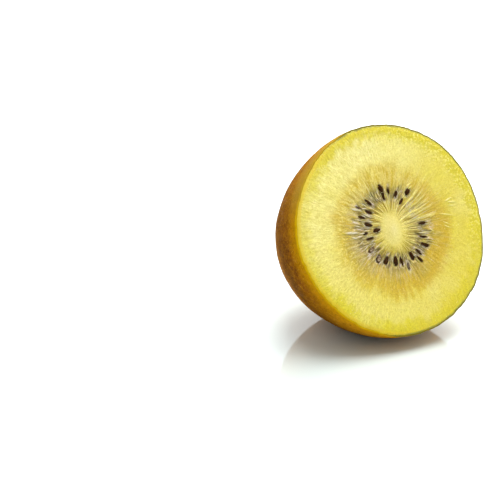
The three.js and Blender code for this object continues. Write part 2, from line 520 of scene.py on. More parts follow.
def roughen_skin(points):
    """Moves points of the skin along its normal, by less at the rim, where the cut is clean."""
    rows, segments, _ = points.shape
    along = np.gradient(points, axis=0)
    around = np.roll(points, -1, axis=1) - np.roll(points, 1, axis=1)
    normal = np.cross(around, along)
    normal /= np.linalg.norm(normal, axis=2, keepdims=True) + 1e-9
    flat = points.reshape(-1, 3)
    lift = np.zeros(len(flat))
    for size, height in SKIN_BUMPS:
        lift += height * smooth_noise(flat, size)
    size, height, reach = TIP_BUMPS
    from_tip = np.hypot(flat[:, 0], flat[:, 1])
    near_tip = hump(from_tip, SCAR_COLLAR[0] + TIP_BUMPS_OUT, reach)
    lift += height * near_tip * smooth_noise(flat, size, offset=7)
    lift *= smoothstep(-flat[:, 2], *CLEAN_CUT)
    return points + normal * lift.reshape(rows, segments, 1)


def rest_on_ground(places):
    """Flattens what would reach under the surface that the half rests on."""
    places[:, 2] = np.maximum(places[:, 2], 0)
    return places


def inner_rows(rim, rim_radius, count, end_inset, side_inset):
    """Rows of points that close a body behind its rim, inside the skin's outline."""
    rows = []
    for turn in np.linspace(math.pi / 2, 0, count + 2)[1:-1]:
        depth = (HALF_LENGTH - end_inset) * math.cos(turn)
        row = rim * ((skin_radius(depth) - side_inset) / rim_radius)
        row[:, 2] = -depth
        rows.append(row)
    return rows


def build_skin():
    outer = roughen_skin(outer_skin())
    rim = outer[-1]
    inward = 1 - SKIN_THICKNESS / CUT_RADIUS
    rounded = rim * (1 - LIP_ROUNDING / CUT_RADIUS)
    rounded[:, 2] = rim[:, 2] + LIP_ROUNDING
    lip = rim * inward
    lip[:, 2] = rim[:, 2] + LIP_ROUNDING
    rows = [outer.reshape(-1, 3), rounded, lip]
    rows += inner_rows(lip, CUT_RADIUS * inward, INNER_ROWS, SKIN_THICKNESS, SKIN_THICKNESS)
    tip = -HALF_LENGTH + SCAR_PIT_DEPTH
    points = np.concatenate([[[0, 0, tip]], *rows, [[0, 0, tip + 2 * SKIN_THICKNESS]]])
    faces = pole_to_pole((len(points) - 2) // SKIN_SEGMENTS, SKIN_SEGMENTS)
    piece = make_object("kiwi_skin", rest_on_ground(to_part(points)), faces)
    return dress(piece, points, skin_material())


def skin_material():
    g = Surface("kiwi skin")
    place = g.place
    x, y, z = g.parts(place)
    depth = g.times(z, -1)
    from_axis = g.vector_length(g.joined(x, y))

    # Brown with lighter and darker clouds, a painted glow of light through the flesh next to the
    # cut, and finely speckled.
    g.colour = g.mix(g.span(g.noise(place, 0.16, 4, 0.55), 0.3, 0.7), SKIN_DARK, SKIN_LIGHT)
    g.paint(BACK_TAN, g.span(depth, 13, 22, 0, 0.85))
    # painted glow: the skin turns gold towards the cut, as if lit through the flesh
    g.paint(PAINTED_CUT_GLOW, g.span(depth, 6.4, 1.8), 0.85)
    # painted light on the upper side, near the cut
    g.paint(PAINTED_TOP_SIDE_LIGHT, g.span(y, 2, 20), g.span(depth, 16, 6), 0.4)
    g.paint_grain(g.noise(place, 0.5, 3, 0.6), PATCH_TONES)
    # painted light on the low side, standing in for light off the floor
    g.paint(PAINTED_FLOOR_BOUNCE, g.span(y, -6, -24), g.span(depth, 18, 6), 0.6)
    fine = g.noise(place, 1.9, 3, 0.75)
    g.paint_grain(fine, FINE_TONES)
    blotch = g.noise(g.vector("ADD", place, (11, 4, 23)), 0.95)
    g.paint_grain(blotch, BLOTCH_TONES)
    speck = g.times(g.span(g.cells(place, 1.4), 0.3, 0.12),
                    g.span(g.noise(place, 0.5), 0.36, 0.56))
    g.paint(SPECK, speck, 0.55)
    # painted shade: a darker belt low down, a little behind the cut
    g.paint(PAINTED_LOW_SHADE, g.band(depth, 10, 15, 3), g.span(y, 10, -4), 0.4)
    dots = g.cells(g.vector("ADD", place, (31, 7, 3)), 0.33)
    g.paint(DOT, g.span(dots, 0.12, 0.06, 0, 0.75))

    # The blossom end: a paler woody scar with a dark pit.
    at_tip = g.span(depth, 30, 33)
    woody = g.span(g.noise(place, 2.4, 3), 0.42, 0.6)
    g.paint(SCAR_FLESH, g.span(depth, 28, 34), g.span(from_axis, 14, 3), 0.6)
    g.paint(SCAR_RING, g.span(from_axis, 4.6, 3.4), at_tip)
    g.paint(SCAR_WOOD, g.span(from_axis, 5, 3), at_tip, woody, 0.5)
    g.paint(SCAR_DARK, g.span(from_axis, 1.7, 0.6), at_tip)

    # The cut edge: gold, khaki high up, with an olive line except on the left.
    # painted glow of light through the flesh: ochre, then yellow, on the skin's outside just behind
    # the cut edge
    g.paint(CUT_GLOW_OCHRE, g.span(depth, 2.6, RIM_DROP), 0.5)
    g.paint(CUT_GLOW_YELLOW, g.span(depth, 0.8, RIM_DROP), 0.6)
    g.paint(EDGE_KHAKI, g.span(depth, 7, 1.5), g.span(y, 6, 15), g.span(x, 6, -4), 0.6)
    g.paint(EDGE_OLIVE, g.span(depth, RIM_DROP + 0.5, RIM_DROP),
            g.span(x, -11, -5),
            g.span(from_axis, CUT_RADIUS - 0.9, CUT_RADIUS - 0.5), 0.9)

    height = g.add(g.times(fine, 0.6), g.times(speck, 0.3))
    normal = g.bump(height, 0.00025, 0.9)
    g.set(Base_Color=g.colour, Roughness=0.5, Normal=normal, Specular_IOR_Level=0.1, IOR=1.06)
    g.set(Subsurface_Weight=0.1, Subsurface_Radius=(1, 0.5, 0.15), Subsurface_Scale=0.001)
    return g.material


# ------ flesh

FLESH_SEGMENTS = 560
FLESH_INNER_ROWS = 12
FLESH_END_INSET = 3 * SKIN_THICKNESS  # how far inside the skin's outline its hidden side lies
FLESH_SIDE_INSET = 1.6 * SKIN_THICKNESS
FLESH_EDGE = CUT_RADIUS - 0.34  # where the flesh meets the skin's cut edge
FLESH_EDGE_ROUNDING = (1.5, 0.34)  # width of the rounded rim, and how far it falls
FLESH_EDGE_ROUNDNESS = 0.96  # 1 would make the rim end upright
FLESH_NICK_WIDTH = 5  # how far inwards from the rim a nick still pulls the flesh
FLESH_RADII = (  # from, to and number of rings
    (0.25, 5, 24), (5, 12.5, 62), (12.5, 26.2, 62), (26.2, FLESH_EDGE, 4),
)
FACE_FIBRES = (26, 0.16, 0.11)  # to a radian, waves to a millimetre, height
FACE_FIBRE_ZONE = (3.2, 5.5, 13, 19)  # the rings where they start, are full, fade and end
FACE_CELLS = ((1.1, 1, 0), (0.55, 0.7, 5))  # size, share of the height, noise offset
FACE_CELL_HEIGHT = 0.05
FACE_CELL_ZONE = (12, 18, 25.5, 26.6)
FAR = 9  # a distance from the seeds that counts as far


def flesh_rings():
    radii = []
    for low, high, count in FLESH_RADII:
        radii += list(np.linspace(low, high, count, endpoint=False))
    return np.array(radii + [FLESH_EDGE])


def seed_spot(clock, distance):
    """The middle of a seed on the face, in the fruit's own frame."""
    angle = from_clock(clock)
    x = SEED_MIDDLE[0] + distance * math.cos(angle)
    y = SEED_MIDDLE[1] + distance * math.sin(angle)
    height = -SEED_RING_DEPTH * hump(ring_through(x, y), *SEED_RING)
    return np.array([x, y, height]), angle


def oval_gap(x, y, ovals):
    """How far each place lies outside the nearest oval, in millimetres, negative inside."""
    nearest = np.full(x.shape, FAR)
    for clock, distance, width, length, lean in ovals:
        spot, angle = seed_spot(clock, distance)
        angle -= math.radians(lean)
        dx = x - spot[0]
        dy = y - spot[1]
        along = dx * math.cos(angle) + dy * math.sin(angle)
        across = dy * math.cos(angle) - dx * math.sin(angle)
        size = np.hypot(along / (length / 2), across / (width / 2))
        nearest = np.minimum(nearest, (size - 1) * width / 2)
    return nearest


def in_zone(radius, start, full, fade, end):
    return smoothstep(radius, start, full) * (1 - smoothstep(radius, fade, end))


def fine_face_relief(radius, angle, x, y):
    """Fibres round the core and soft cells outside them, in millimetres."""
    count, waves, height = FACE_FIBRES
    spoke = np.stack([np.cos(angle), np.sin(angle)], -1)
    places = np.concatenate([spoke * count, radius[..., None] * waves], -1).reshape(-1, 3)
    fibres = smooth_noise(places, 1).reshape(radius.shape)
    places = np.stack([x, y, np.zeros_like(x)], -1).reshape(-1, 3)
    cells = sum(share * smooth_noise(places, size, offset) for size, share, offset in FACE_CELLS)
    cells = cells.reshape(radius.shape)
    return (height * fibres * in_zone(radius, *FACE_FIBRE_ZONE)
            + FACE_CELL_HEIGHT * cells * in_zone(radius, *FACE_CELL_ZONE))


def edge_fall(radius):
    """How far the rounded rim of the flesh lies below its face."""
    width, fall = FLESH_EDGE_ROUNDING
    into_rim = np.clip((radius - FLESH_EDGE + width) / width, 0, 1)
    end = 1 - math.sqrt(1 - FLESH_EDGE_ROUNDNESS)
    return fall * (1 - np.sqrt(1 - FLESH_EDGE_ROUNDNESS * into_rim**2)) / end


def build_flesh():
    angles = circle(FLESH_SEGMENTS)
    radius, angle = np.meshgrid(flesh_rings(), angles, indexing="ij")
    x, y = face_place(radius, angle)
    nick = edge_nick(angles) * smoothstep(radius, CUT_RADIUS - FLESH_NICK_WIDTH, FLESH_EDGE)
    x = x * (1 - nick)
    y = y * (1 - nick)
    gap = oval_gap(x, y, [seed[:5] for seed in SEEDS])
    pocket = smoothstep(oval_gap(x, y, POCKETS), *POCKET_WALL)
    height = face_height(radius, CHAMBER_RIB * np.cos(CHAMBERS * angle))
    height += fine_face_relief(radius, angle, x, y) - edge_fall(radius)
    height -= SEED_HOLLOW * smoothstep(gap, SEED_HOLLOW_REACH, 0) + POCKET_DEPTH * pocket
    face = np.stack([x, y, height], -1)

    back = inner_rows(face[-1], CUT_RADIUS, FLESH_INNER_ROWS, FLESH_END_INSET, FLESH_SIDE_INSET)
    points = np.concatenate([[[*CORE_OFFSET, CORE_DOME]], face.reshape(-1, 3), *back,
                             [[0, 0, -HALF_LENGTH + FLESH_END_INSET]]])
    faces = pole_to_pole((len(points) - 2) // FLESH_SEGMENTS, FLESH_SEGMENTS)
    faces = [corners[::-1] for corners in faces]
    piece = make_object("kiwi_flesh", rest_on_ground(to_part(points)), faces)

    hidden = len(points) - 1 - radius.size
    reach = np.hypot(x - SEED_MIDDLE[0], y - SEED_MIDDLE[1])
    for name, middle, values, rest in (
        ("ring_mm", 0, radius, CUT_RADIUS), ("reach_mm", 0, reach, CUT_RADIUS),
        ("seed_gap", FAR, gap, FAR), ("pocket", 0, pocket, 0),
    ):
        store(piece, name, np.concatenate([[middle], values.ravel(), np.full(hidden, rest)]))
    spoke = direction(angle).reshape(-1, 3)
    right = [[1, 0, 0]]
    store(piece, "spoke", np.concatenate([right, spoke, np.tile(right, (hidden, 1))]))
    return dress(piece, points, flesh_material())


RING_COLOURS = (  # ring in millimetres, colour
    (0, srgb(0xE5D788)), (3.4, srgb(0xE5D574)), (4.7, srgb(0xDECA54)),
    (6.2, srgb(0xC0A72C)), (7.6, srgb(0xA89030)), (9, srgb(0xA48D36)),
    (10.8, srgb(0xB89F30)), (12.8, srgb(0xD0B52A)), (15.5, srgb(0xD9C33E)),
    (18.5, srgb(0xE6D768)), (22.5, srgb(0xE6D866)), (24.6, srgb(0xDCCD36)),
    (26.7, srgb(0xD8C81A)),
)
# Where the zones are pulled outwards: clock, from, full at, first ring, last ring, millimetres.
RING_PULLS = ((138, 0.3, 0.95, 13, 17, 1.6), (272, 0.2, 0.9, 12.5, 17.5, 2.3))

GOLD_CLOCK = 125  # the golden patches are strongest on this side of the core
LIT_CLOCK = 330  # painted light: the outer flesh is lightest on this side, where the light falls
SHADED_CLOCK = 105  # painted shade: and darker and yellower on this one, away from the light
OPEN_CLOCK = 62  # the ring of seeds is open here
WET_CLOCK = 285  # the outer grain is softest and its dashes are boldest here
RIM_CLOCK = 235  # the yellow of the rim is faintest here

GOLD = srgb(0xC8A214)
OPEN_FLESH = srgb(0xD8C046)
# painted light on the outer flesh, on the side the light comes from
PAINTED_LIT_FLESH = srgb(0xF1E792)
# painted shade on the outer flesh, on the side away from the light
PAINTED_SHADED_FLESH = srgb(0xDBC838)
TAN_FLESH = srgb(0xB29848)
# painted light: a paler tone for the top side of the gold zone
PAINTED_TOP_FLESH_LIGHT = srgb(0xF0E280)
POCKET = srgb(0x746C3E)
ARIL_YELLOW = srgb(0xF0DA84)
ARIL_WHITE = srgb(0xE6D4BC)
VEIL = srgb(0xD0BA7C)
FIBRE = srgb(0xF3E79E)
# painted shadow where the flesh meets each seed
PAINTED_SEED_SHADOW = srgb(0x543C20)
RIM_YELLOW = srgb(0xD6C51E)
# painted highlight
PAINTED_GLINT = srgb(0xFEFAC4)
# painted glow of light through the flesh, at the rim
PAINTED_EDGE_GLOW = srgb(0xE0BE1A)
RIGHT_RIM_OLIVE = srgb(0x8A862C)
# The tones of its grains.
MOTTLE_TONES = ((0.5, 0.62, 0.45, srgb(0xEEDE76)), (0.48, 0.36, 0.35, srgb(0xC4A630)))
CLOUD_TONES = ((0.5, 0.75, 0.3, srgb(0xF2E79E)), (0.5, 0.25, 0.3, srgb(0xE2D038)))
TANGLE_DARK = (0.5, 0.37, 0.76, srgb(0x62522E))
TANGLE_LIGHT = (0.525, 0.62, 0.8)
CORE_RAY_TONES = ((0.5, 0.58, 0.9, srgb(0xFAEE92)), (0.49, 0.41, 0.85, srgb(0x8E701E)))
LONG_RAY_TONES = ((0.5, 0.6, 0.8, srgb(0xF8EA8C)), (0.47, 0.38, 0.5, srgb(0xAA8E28)))
# darker spots, and painted highlights as bright specks
GLINT_AND_SPOT_TONES = ((0.47, 0.36, 0.35, srgb(0xB8AE22)), (0.54, 0.66, 0.5, srgb(0xFAF28C)))
DARK_CELL = (0.76, 0.71, 0.46)  # what the flesh's colour is multiplied by
LIGHT_CELL = (1.16, 1.2, 1.55)


def towards(clock):
    return tuple(direction(from_clock(clock)))


class Face(Surface):
    """The surface of the cut face, which knows the zone and the side of each place on it."""

    def __init__(self, name):
        super().__init__(name)
        self.spoke = self.attribute("spoke", "Vector")
        self.ring = self.attribute("ring_mm")
        self.reach = self.attribute("reach_mm")
        self.gap = self.attribute("seed_gap")
        self.outer = self.span(self.ring, 14, 18)
        self.open_side = self.side(OPEN_CLOCK, 0.89, 0.94)
        self.warped = self.warped_ring()

    def rays(self, count, waves, shift=0, detail=2):
        """Streaks that run outwards from the core, about count to a radian."""
        across = self.vector("SCALE", self.spoke, count)
        along = self.joined(z=self.times(self.ring, waves))
        shifted = self.vector("ADD", along, (shift, shift, shift))
        return self.noise(self.vector("ADD", across, shifted), 1, detail, 0.55)

    def wavy_rays(self, count, waves, shift, bend):
        """The same, but bending to and fro."""
        bent = self.span(self.noise(self.place, 0.35, 1), 0.2, 0.8, -bend, bend, smooth=False)
        across = self.vector("SCALE", self.spoke, count)
        along = self.add(self.times(self.ring, waves), shift)
        moved = self.joined(bent, bent, along)
        return self.noise(self.vector("ADD", across, moved), 1, 2, 0.55)

    def side(self, clock, low, high):
        """0 to 1 with how far round a place lies towards a side of the face."""
        return self.span(self.vector("DOT_PRODUCT", self.spoke, towards(clock)), low, high)

    def warped_ring(self):
        """The ring of each place, with the borders of its zones drawn out into streaks."""
        wander = self.add(
            self.span(self.rays(14, 0.1, detail=3), 0.3, 0.7, -1.1, 1.1),
            self.span(self.noise(self.place, 0.14, 3), 0.3, 0.7, -1.3, 1.3),
        )
        warped = self.add(self.ring, self.times(wander, self.span(self.ring, 3, 12)))
        lean = self.add(self.times(self.side(280, 0, 0.9), 1.2),
                        self.times(self.side(180, 0.3, 1), 0.3))
        near_core = self.times(self.span(self.ring, 2, 4), self.span(self.ring, 11, 8))
        warped = self.minus(warped, self.times(lean, near_core))
        for clock, low, high, first, last, pull in RING_PULLS:
            pulled = self.times(self.side(clock, low, high), self.band(self.ring, first, last, 2))
            warped = self.minus(warped, self.times(pulled, pull))
        return warped


def paint_zones(g):
    """The broad zones of the face: pale core, dark seed ring, gold zone and outer flesh."""
    g.colour = g.ramp(g.warped, RING_COLOURS, 0, CUT_RADIUS)
    g.paint(OPEN_FLESH, g.open_side, g.band(g.ring, 6.3, 11, 0.8))
    # painted light: the outer flesh lighter on its upper-left side
    g.paint(PAINTED_LIT_FLESH, g.outer, g.side(LIT_CLOCK, -0.2, 1), 0.6)
    # painted shade: the outer flesh darker and yellower on its right side
    g.paint(PAINTED_SHADED_FLESH, g.outer, g.side(SHADED_CLOCK, 0, 1), 0.75)
    patches = g.span(g.noise(g.place, 0.1, 3), 0.36, 0.6)
    golden = g.larger(g.side(GOLD_CLOCK, -0.3, 0.6), patches)
    g.paint(GOLD, g.band(g.warped, 11.6, 15, 2.6), golden, 0.8)
    mottled = g.times(g.band(g.ring, 11.5, 17, 1.5), g.add(g.side(300, -0.2, 0.8), 0.4))
    g.paint_grain(g.wavy_rays(22, 0.5, 41, 2), MOTTLE_TONES, mottled)
    g.paint(TAN_FLESH, g.band(g.reach, 10.5, 15, 1.5), g.side(272, 0.4, 1),
            g.span(g.rays(24, 0.4, 27, 3), 0.4, 0.6), 0.6)
    # painted light: streaks of the gold zone lightened on its top side, where light falls
    g.paint(PAINTED_TOP_FLESH_LIGHT, g.band(g.ring, 11, 16, 2), g.side(350, 0, 0.9),
            g.span(g.rays(20, 0.2, 17, 3), 0.36, 0.6), 0.5)
    clouds = g.noise(g.vector("ADD", g.place, (5, 50, 9)), 0.09, 1.5)
    g.paint_grain(clouds, CLOUD_TONES, g.outer)


def paint_seed_ring(g, strands):
    """The ring of seeds, grey and glassy with paler walls, and open on one side."""
    border = g.add(10.9, g.minus(g.times(g.side(275, 0.5, 1), 1.2),
                                 g.times(g.side(22, 0.7, 1), 1.3)))
    closed = g.times(g.minus(1, g.open_side), g.span(g.reach, 6.3, 7.3),
                     g.span(g.minus(g.reach, border), -0.8, 0.8, 1, 0))
    glassy = g.times(closed, g.span(g.rays(9, 0.2, 3), 0.42, 0.64), 0.7)
    g.paint(POCKET, g.larger(glassy, g.attribute("pocket")), 0.65)
    aril = g.mix(g.span(g.noise(g.place, 0.5), 0.44, 0.58), ARIL_YELLOW, ARIL_WHITE)
    tangle = g.rays(22, 0.55, 21, 3)
    g.paint_grain(tangle, (TANGLE_DARK, (*TANGLE_LIGHT, aril)), closed)
    g.paint(VEIL, g.band(g.reach, 10.6, 13.6, 1.4),
            g.span(g.rays(28, 0.25, 8), 0.44, 0.62), g.side(235, -0.4, 0.5), 0.5)
    unbroken = g.times(g.side(290, 0.5, 0.9), 0.8)
    broken = g.larger(g.span(g.noise(g.place, 0.9), 0.4, 0.56), unbroken)
    g.paint(aril, g.span(g.gap, 0.55, 0.12), g.span(g.rays(30, 0.9, 2), 0.38, 0.62), broken, 0.9)
    g.paint(FIBRE, strands, 0.6)
    # painted shadow: darker right round each seed
    g.paint(PAINTED_SEED_SHADOW, g.span(g.gap, 0.16, 0), 0.6)


def paint_rays(g):
    """Pale rays out of the core, long and bold on the open side."""
    ray_zone = g.times(g.span(g.warped, 3.6, 4.8), g.span(g.reach, 7.4, 6.2))
    bold = g.span(g.side(GOLD_CLOCK + 70, 0, 0.8), 0, 1, 1, 0.5)
    core_rays = g.add(g.times(g.rays(42, 0.16, 1.5, 3), 0.6),
                      g.times(g.rays(17, 0.16, 9.5), 0.4))
    g.paint_grain(core_rays, CORE_RAY_TONES, ray_zone, bold)
    long_zone = g.times(g.span(g.warped, 3.6, 5), g.span(g.reach, 14, 10),
                        g.side(OPEN_CLOCK, 0.82, 0.94))
    g.paint_grain(g.rays(30, 0.05, 33, 3), LONG_RAY_TONES, long_zone)


def shade_cells(g, grain, dashes):
    """A fine grain, and short dashes that point at the core."""
    bold_dash = g.span(g.side(WET_CLOCK, -0.5, 0.7), 0, 1, 0.5, 1.4)
    soft_grain = g.span(g.side(WET_CLOCK, -0.5, 0.7), 0, 1, 1.5, 1.2)
    dash = g.times(g.span(dashes, 0.25, 0.75, -1, 1, smooth=False),
                   g.span(g.ring, 12, 18, 1, bold_dash))
    grains = g.times(g.span(grain, 0.25, 0.75, -1, 1, smooth=False),
                     g.span(g.ring, 12, 18, 2, soft_grain))
    shade = g.span(g.add(grains, dash), -1.8, 1.8, smooth=False)
    tone = g.mix(shade, DARK_CELL, LIGHT_CELL)
    tone = g.mix(g.span(g.ring, 3, 6, 0.55, 1), (1, 1, 1), tone)
    g.colour = g.vector("MULTIPLY", g.colour, tone)


def flesh_material():
    g = Face("kiwi flesh")
    strand_zone = g.add(g.band(g.ring, 6.5, 13, 2),
                        g.times(g.band(g.ring, 8, 19, 2.5), g.side(75, 0.4, 0.9), 0.3))
    strands = g.times(g.span(g.rays(36, 0.16, 5, 3), 0.56, 0.68), strand_zone)
    grain = g.noise(g.place, 2.6, 3, 0.7)
    dashes = g.wavy_rays(66, 0.5, 12, 1.6)
    paint_zones(g)
    paint_seed_ring(g, strands)
    paint_rays(g)
    frayed = g.add(g.ring, g.span(g.noise(g.place, 0.45, 3), 0.3, 0.7, -1.2, 1.2))
    g.paint(RIM_YELLOW, g.span(frayed, 22.2, 25.6),
            g.span(g.side(RIM_CLOCK, -0.3, 0.9), 0, 1, 0.9, 0.42))
    shade_cells(g, grain, dashes)

    # Painted highlights as small glints, painted highlights and darker spots near the upper right
    # rim, a painted glow of light through the flesh at the gold edge on the left, and an olive edge
    # on the right.
    g.paint(PAINTED_GLINT, g.span(g.cells(g.place, 1.5), 0.17, 0.08),
            g.span(g.noise(g.place, 0.35), 0.48, 0.6), g.span(g.ring, 10, 14), 0.6)
    speckle = g.noise(g.vector("ADD", g.place, (3, 7, 31)), 2.1, 1)
    # near the upper right rim: darker spots of the flesh, and painted highlights as bright specks
    glint_rim = g.times(g.span(frayed, 21.6, 23.6), g.side(55, 0.3, 0.9))
    g.paint_grain(speckle, GLINT_AND_SPOT_TONES, glint_rim)
    # painted glow: the rim gold on the left, as if lit through the flesh
    g.paint(PAINTED_EDGE_GLOW, g.span(g.ring, 25.4, 26.4, 0, 0.75), g.side(250, -0.1, 0.6))
    # an olive edge along the rim on the right
    g.paint(RIGHT_RIM_OLIVE, g.span(g.ring, 26.1, 26.5), g.side(82, -0.45, -0.15),
            g.span(g.noise(g.place, 0.5), 0.35, 0.6, 0.4, 0.9))

    height = g.add(g.times(grain, 0.6), g.times(dashes, g.span(g.ring, 1.5, 7, 0, 0.6)))
    normal = g.bump(g.add(height, g.times(strands, 0.5)), 0.0003, 0.9)
    g.set(Base_Color=g.colour, Roughness=0.4, Normal=normal, Specular_IOR_Level=0.3)
    g.set(Subsurface_Weight=0.3, Subsurface_Radius=(1, 0.7, 0.2), Subsurface_Scale=0.0012)
    g.set(Coat_Weight=g.span(g.ring, 25.4, 26.4, 0.35, 0), Coat_Roughness=0.06)
    g.set(Coat_IOR=1.36, Coat_Normal=normal)
    return g.material


# ------ seeds

SEED_SIDES = 28
SEED_ROWS = 18
NOISE_SPREAD = 40  # each seed takes its unevenness from another part of the noise
SEED_DARK = srgb(0x200F02)
SEED_BROWN = srgb(0x46280A)
COAT_BROWN = srgb(0x74582C)  # of pale, empty seed coats
COAT_DARK = srgb(0x785C3C)
COAT_LIGHT = srgb(0xD6C4A4)


def seed_body(width, length, hollow):
    """A drop whose blunt end points away from the core, along +x; a hollow one is dished on top."""
    around = circle(SEED_SIDES)
    rows = []
    for turn in np.linspace(0, math.pi, SEED_ROWS + 2)[1:-1]:
        along = -math.cos(turn)
        radius = math.sin(turn) * (1 + SEED_TAPER * (along - 1) / 2)
        rows.append(np.stack([np.full(SEED_SIDES, along * length / 2),
                              radius * np.cos(around) * width / 2,
                              radius * np.sin(around) * width * SEED_THICKNESS / 2], -1))
    points = np.concatenate([[[-length / 2, 0, 0]], *rows, [[length / 2, 0, 0]]])
    inwards = 1 - np.hypot(points[:, 0] / (length / 2), points[:, 1] / (width / 2))
    dish = smoothstep(inwards, *SEED_DISH_WALL) * (points[:, 2] > 0)
    points[:, 2] *= 1 - hollow * dish
    return points, dish


def placed_seed(seed, draw):
    clock, distance, width, length, lean, pale = seed
    spot, angle = seed_spot(clock, distance)
    angle -= math.radians(lean)
    points, dish = seed_body(width, length, SEED_DISH * pale)
    size, height = SEED_LUMPS
    points *= 1 + height * smooth_noise(points, size, draw.uniform(0, NOISE_SPREAD))[:, None]
    points[:, 2] += points[:, 0] * draw.uniform(-SEED_TILT, SEED_TILT)
    turned = points.copy()
    turned[:, 0] = points[:, 0] * math.cos(angle) - points[:, 1] * math.sin(angle)
    turned[:, 1] = points[:, 0] * math.sin(angle) + points[:, 1] * math.cos(angle)
    return turned + spot - np.array([0, 0, SEED_SINK * width * SEED_THICKNESS]), dish


def build_seeds():
    draw = np.random.default_rng(SEED)
    bodies, dishes = zip(*[placed_seed(seed, draw) for seed in SEEDS])
    points, faces = join_bodies(bodies, pole_to_pole(SEED_ROWS, SEED_SIDES))
    piece = make_object("kiwi_seeds", to_part(points), faces)
    store(piece, "pale", np.repeat([seed[-1] for seed in SEEDS], len(bodies[0])))
    store(piece, "dish", np.concatenate(dishes))
    return dress(piece, points, seed_material())


def seed_material():
    g = Surface("kiwi seed")
    pale = g.attribute("pale")
    mottle = g.noise(g.place, 3.2, 3)
    light = g.mix(g.span(mottle, 0.4, 0.6), COAT_DARK, COAT_LIGHT)
    g.colour = g.mix(g.span(mottle, 0.35, 0.7), SEED_DARK, SEED_BROWN)
    g.paint(COAT_BROWN, pale, 0.35)
    g.paint(light, g.attribute("dish"), g.span(pale, 0.1, 0.7))
    g.set(Base_Color=g.colour, Roughness=0.3, Normal=g.bump(mottle, 0.00003, 0.6))
    g.set(Specular_IOR_Level=0.05)
    return g.material


# ------ fibres

# Long pale fibres: clock angle and distance of both ends, and width.
FIBRES = [
    (66, 3.2, 60, 8.2, 0.2), (67, 3.6, 68, 8.8, 0.22), (72, 4.2, 66, 10.5, 0.14),
    (114, 6, 108, 11.2, 0.28), (58, 6.5, 61, 12.5, 0.16), (50, 5.5, 49, 9, 0.14),
    (79, 5, 77, 13, 0.16), (84, 6.2, 86, 10.4, 0.12), (40, 10.9, 42, 13.2, 0.3),
    (88, 10.4, 85, 12.6, 0.34), (91, 10.6, 93, 12.2, 0.22), (304, 9, 300, 14.6, 0.4),
    (272, 9.8, 273, 15.2, 0.55), (266, 9, 267, 12.6, 0.4), (280, 9.2, 282, 12.4, 0.3),
    (259, 9.6, 256, 12.2, 0.2), (289, 9, 291, 12, 0.22), (297, 8, 298, 10.4, 0.3),
    (225, 5.6, 228, 8, 0.22), (213, 5.2, 213, 7, 0.18), (236, 5.4, 239, 7.6, 0.16),
    (250, 8.6, 247, 12, 0.22), (202, 6.4, 201, 8.4, 0.14), (176, 6.4, 175, 8.6, 0.14),
    (347, 9, 344, 12.6, 0.18), (12, 8.4, 13, 12, 0.16), (27, 9, 27, 12.4, 0.2),
    (315, 8.4, 312, 12.4, 0.22), (331, 8.2, 329, 11.6, 0.16), (137, 8, 138, 11.4, 0.14),
    (166, 7.2, 167, 10, 0.14), (188, 7.4, 188, 10.4, 0.14), (216, 8.2, 216, 11.6, 0.18),
    (47, 4.4, 46, 11, 0.16), (53, 4.2, 54, 10.5, 0.2), (57, 3.8, 57, 13.5, 0.2),
    (62, 3.6, 61, 9.6, 0.16), (70, 3.3, 70, 8.2, 0.24), (75, 3.4, 74, 11.6, 0.18),
    (80, 3.6, 81, 9.8, 0.18), (109, 4.8, 107, 12.6, 0.2), (27, 4.6, 26, 8.4, 0.14),
    (302, 10.6, 300, 14.2, 0.5), (314, 8.4, 302, 11.2, 0.34), (300, 6, 301, 10.6, 0.4),
    (292, 5.8, 291, 9, 0.32), (280, 7.9, 288, 9.8, 0.28), (266, 4, 265, 6.9, 0.26),
    (270, 8.2, 270, 11.2, 0.3), (273, 11.6, 274, 15.6, 0.6), (264, 11, 270, 13.8, 0.46),
    (342, 7.3, 337, 9.8, 0.28), (329, 7.4, 322, 10.6, 0.3), (356, 7.6, 348, 11.4, 0.26),
]
# Short pale strokes further out, given in the same way.
STROKES = [
    (86, 12.9, 92, 18, 0.3), (77, 16, 77, 18.6, 0.4), (79, 16.8, 81, 19.4, 0.44),
    (82, 16.7, 84, 19, 0.36), (95, 13.7, 99, 16.1, 0.3), (99, 13.9, 102, 16.3, 0.3),
    (31, 10.7, 39, 12.8, 0.4), (36, 10.4, 40, 12.2, 0.36), (103, 9.7, 108, 11.7, 0.3),
]
FINE_FIBRES = 110
FINE_FIBRE_STARTS = (5.6, 9.5)
FINE_FIBRE_LENGTHS = (1.2, 3.6)
FINE_FIBRE_WIDTHS = (0.08, 0.16)
FINE_FIBRE_TURN = 3  # how far the outer end may lie to a side, in degrees
FIBRE_ROWS = 26
FIBRE_SIDES = 8
FIBRE_SWAY = (0.1, 1.4)  # how far aside, and how many bends
FIBRE_NOISE_SPREAD = 50
FIBRE_TIP = 0.02  # the share of its length that a fibre's taper leaves out at each end
FIBRE_BLUNTNESS = 0.6
FIBRE_PALE_CLOCK = 280
FIBRE_YELLOW = srgb(0xECDC76)
FIBRE_WHITE = srgb(0xDACEAE)
STROKE_YELLOW = srgb(0xF0E288)


def fibre_list():
    """The long fibres, then fine ones drawn at random all round the core, then the strokes."""
    draw = np.random.default_rng(SEED + 1)
    fibres = list(FIBRES)
    for _ in range(FINE_FIBRES):
        clock = draw.uniform(0, 360)
        start = draw.uniform(*FINE_FIBRE_STARTS)
        end = start + draw.uniform(*FINE_FIBRE_LENGTHS)
        width = draw.uniform(*FINE_FIBRE_WIDTHS)
        end_clock = clock + draw.uniform(-FINE_FIBRE_TURN, FINE_FIBRE_TURN)
        fibres.append((clock, start, end_clock, end, width))
    return fibres + STROKES, draw


